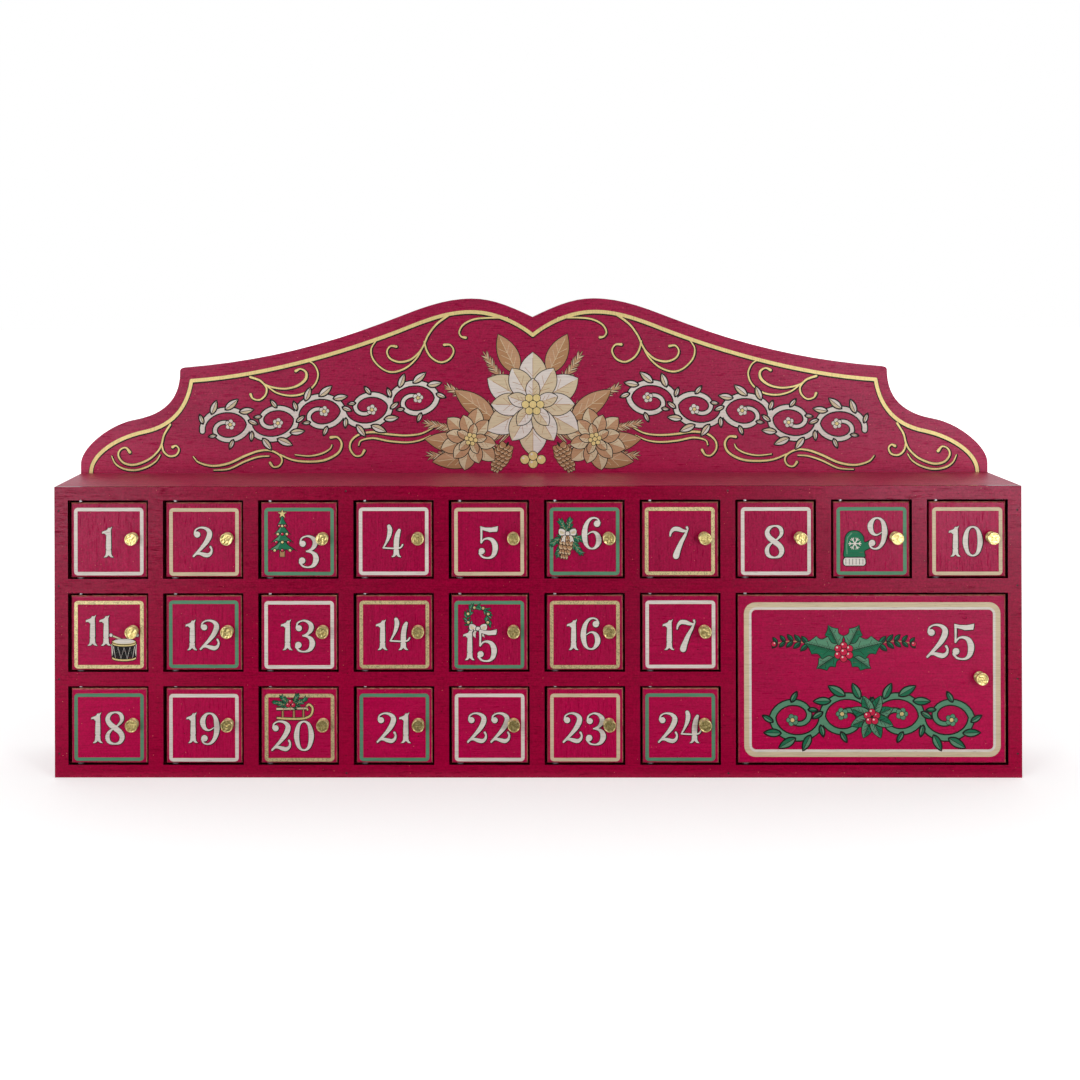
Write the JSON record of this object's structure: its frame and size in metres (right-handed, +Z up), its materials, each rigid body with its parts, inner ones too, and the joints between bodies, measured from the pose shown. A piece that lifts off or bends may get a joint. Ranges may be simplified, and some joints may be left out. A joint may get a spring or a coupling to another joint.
{
  "type": "advent calendar cabinet",
  "caption": "Wooden countdown cabinet: rows of small square doors and one large door on pivot pins, brass knobs, scalloped crest above the back.",
  "frame": {"origin": "middle of the base, on the surface that the cabinet stands on", "axes": "+X to the right seen from the front, +Y towards the back, +Z up"},
  "size_m": [0.4832, 0.0638, 0.2385],
  "materials": {
    "cabinet_paint": "satin red stain",
    "door_paint": "satin red stain",
    "knob_brass": "hammered, polished",
    "pin_steel": "bright",
    "stop_wood": "dark stained"
  },
  "bodies": {
    "cabinet": {"face_frame": "cabinet_paint", "top_board": "cabinet_paint", "bottom_board": "cabinet_paint", "side_boards": "cabinet_paint", "back_board": "cabinet_paint", "shelves": "cabinet_paint", "dividers": "cabinet_paint", "hinge_hardware": "pin_steel", "door_stops": "stop_wood", "brads": "pin_steel"},
    "day_01": {"door_01": "door_paint", "knob_01": "knob_brass"},
    "day_02": {"door_02": "door_paint", "knob_02": "knob_brass"},
    "day_03": {"door_03": "door_paint", "knob_03": "knob_brass"},
    "day_04": {"door_04": "door_paint", "knob_04": "knob_brass"},
    "day_05": {"door_05": "door_paint", "knob_05": "knob_brass"},
    "day_06": {"door_06": "door_paint", "knob_06": "knob_brass"},
    "day_07": {"door_07": "door_paint", "knob_07": "knob_brass"},
    "day_08": {"door_08": "door_paint", "knob_08": "knob_brass"},
    "day_09": {"door_09": "door_paint", "knob_09": "knob_brass"},
    "day_10": {"door_10": "door_paint", "knob_10": "knob_brass"},
    "day_11": {"door_11": "door_paint", "knob_11": "knob_brass"},
    "day_12": {"door_12": "door_paint", "knob_12": "knob_brass"},
    "day_13": {"door_13": "door_paint", "knob_13": "knob_brass"},
    "day_14": {"door_14": "door_paint", "knob_14": "knob_brass"},
    "day_15": {"door_15": "door_paint", "knob_15": "knob_brass"},
    "day_16": {"door_16": "door_paint", "knob_16": "knob_brass"},
    "day_17": {"door_17": "door_paint", "knob_17": "knob_brass"},
    "day_18": {"door_18": "door_paint", "knob_18": "knob_brass"},
    "day_19": {"door_19": "door_paint", "knob_19": "knob_brass"},
    "day_20": {"door_20": "door_paint", "knob_20": "knob_brass"},
    "day_21": {"door_21": "door_paint", "knob_21": "knob_brass"},
    "day_22": {"door_22": "door_paint", "knob_22": "knob_brass"},
    "day_23": {"door_23": "door_paint", "knob_23": "knob_brass"},
    "day_24": {"door_24": "door_paint", "knob_24": "knob_brass"},
    "day_25": {"door_25": "door_paint", "knob_25": "knob_brass"}
  },
  "joints": [
    {"name": "door_01_hinge", "type": "hinge", "parent": "cabinet", "child": "day_01", "pos_m": [-0.22932, -0.0258, 0.11915], "axis": [0, 0, -1], "range_deg": [0, 110]},
    {"name": "door_02_hinge", "type": "hinge", "parent": "cabinet", "child": "day_02", "pos_m": [-0.18162, -0.0258, 0.11915], "axis": [0, 0, -1], "range_deg": [0, 110]},
    {"name": "door_03_hinge", "type": "hinge", "parent": "cabinet", "child": "day_03", "pos_m": [-0.13392, -0.0258, 0.11915], "axis": [0, 0, -1], "range_deg": [0, 110]},
    {"name": "door_04_hinge", "type": "hinge", "parent": "cabinet", "child": "day_04", "pos_m": [-0.08622, -0.0258, 0.11915], "axis": [0, 0, -1], "range_deg": [0, 110]},
    {"name": "door_05_hinge", "type": "hinge", "parent": "cabinet", "child": "day_05", "pos_m": [-0.03852, -0.0258, 0.11915], "axis": [0, 0, -1], "range_deg": [0, 110]},
    {"name": "door_06_hinge", "type": "hinge", "parent": "cabinet", "child": "day_06", "pos_m": [0.00918, -0.0258, 0.11915], "axis": [0, 0, -1], "range_deg": [0, 110]},
    {"name": "door_07_hinge", "type": "hinge", "parent": "cabinet", "child": "day_07", "pos_m": [0.05688, -0.0258, 0.11915], "axis": [0, 0, -1], "range_deg": [0, 110]},
    {"name": "door_08_hinge", "type": "hinge", "parent": "cabinet", "child": "day_08", "pos_m": [0.10458, -0.0258, 0.11915], "axis": [0, 0, -1], "range_deg": [0, 110]},
    {"name": "door_09_hinge", "type": "hinge", "parent": "cabinet", "child": "day_09", "pos_m": [0.15228, -0.0258, 0.11915], "axis": [0, 0, -1], "range_deg": [0, 110]},
    {"name": "door_10_hinge", "type": "hinge", "parent": "cabinet", "child": "day_10", "pos_m": [0.19998, -0.0258, 0.11915], "axis": [0, 0, -1], "range_deg": [0, 110]},
    {"name": "door_11_hinge", "type": "hinge", "parent": "cabinet", "child": "day_11", "pos_m": [-0.22932, -0.0258, 0.0726], "axis": [0, 0, -1], "range_deg": [0, 110]},
    {"name": "door_12_hinge", "type": "hinge", "parent": "cabinet", "child": "day_12", "pos_m": [-0.18162, -0.0258, 0.0726], "axis": [0, 0, -1], "range_deg": [0, 110]},
    {"name": "door_13_hinge", "type": "hinge", "parent": "cabinet", "child": "day_13", "pos_m": [-0.13392, -0.0258, 0.0726], "axis": [0, 0, -1], "range_deg": [0, 110]},
    {"name": "door_14_hinge", "type": "hinge", "parent": "cabinet", "child": "day_14", "pos_m": [-0.08622, -0.0258, 0.0726], "axis": [0, 0, -1], "range_deg": [0, 110]},
    {"name": "door_15_hinge", "type": "hinge", "parent": "cabinet", "child": "day_15", "pos_m": [-0.03852, -0.0258, 0.0726], "axis": [0, 0, -1], "range_deg": [0, 110]},
    {"name": "door_16_hinge", "type": "hinge", "parent": "cabinet", "child": "day_16", "pos_m": [0.00918, -0.0258, 0.0726], "axis": [0, 0, -1], "range_deg": [0, 110]},
    {"name": "door_17_hinge", "type": "hinge", "parent": "cabinet", "child": "day_17", "pos_m": [0.05688, -0.0258, 0.0726], "axis": [0, 0, -1], "range_deg": [0, 110]},
    {"name": "door_18_hinge", "type": "hinge", "parent": "cabinet", "child": "day_18", "pos_m": [-0.22932, -0.0258, 0.02605], "axis": [0, 0, -1], "range_deg": [0, 110]},
    {"name": "door_19_hinge", "type": "hinge", "parent": "cabinet", "child": "day_19", "pos_m": [-0.18162, -0.0258, 0.02605], "axis": [0, 0, -1], "range_deg": [0, 110]},
    {"name": "door_20_hinge", "type": "hinge", "parent": "cabinet", "child": "day_20", "pos_m": [-0.13392, -0.0258, 0.02605], "axis": [0, 0, -1], "range_deg": [0, 110]},
    {"name": "door_21_hinge", "type": "hinge", "parent": "cabinet", "child": "day_21", "pos_m": [-0.08622, -0.0258, 0.02605], "axis": [0, 0, -1], "range_deg": [0, 110]},
    {"name": "door_22_hinge", "type": "hinge", "parent": "cabinet", "child": "day_22", "pos_m": [-0.03852, -0.0258, 0.02605], "axis": [0, 0, -1], "range_deg": [0, 110]},
    {"name": "door_23_hinge", "type": "hinge", "parent": "cabinet", "child": "day_23", "pos_m": [0.00918, -0.0258, 0.02605], "axis": [0, 0, -1], "range_deg": [0, 110]},
    {"name": "door_24_hinge", "type": "hinge", "parent": "cabinet", "child": "day_24", "pos_m": [0.05688, -0.0258, 0.02605], "axis": [0, 0, -1], "range_deg": [0, 110]},
    {"name": "door_25_hinge", "type": "hinge", "parent": "cabinet", "child": "day_25", "pos_m": [0.10458, -0.0258, 0.04933], "axis": [0, 0, -1], "range_deg": [0, 110]}
  ]
}
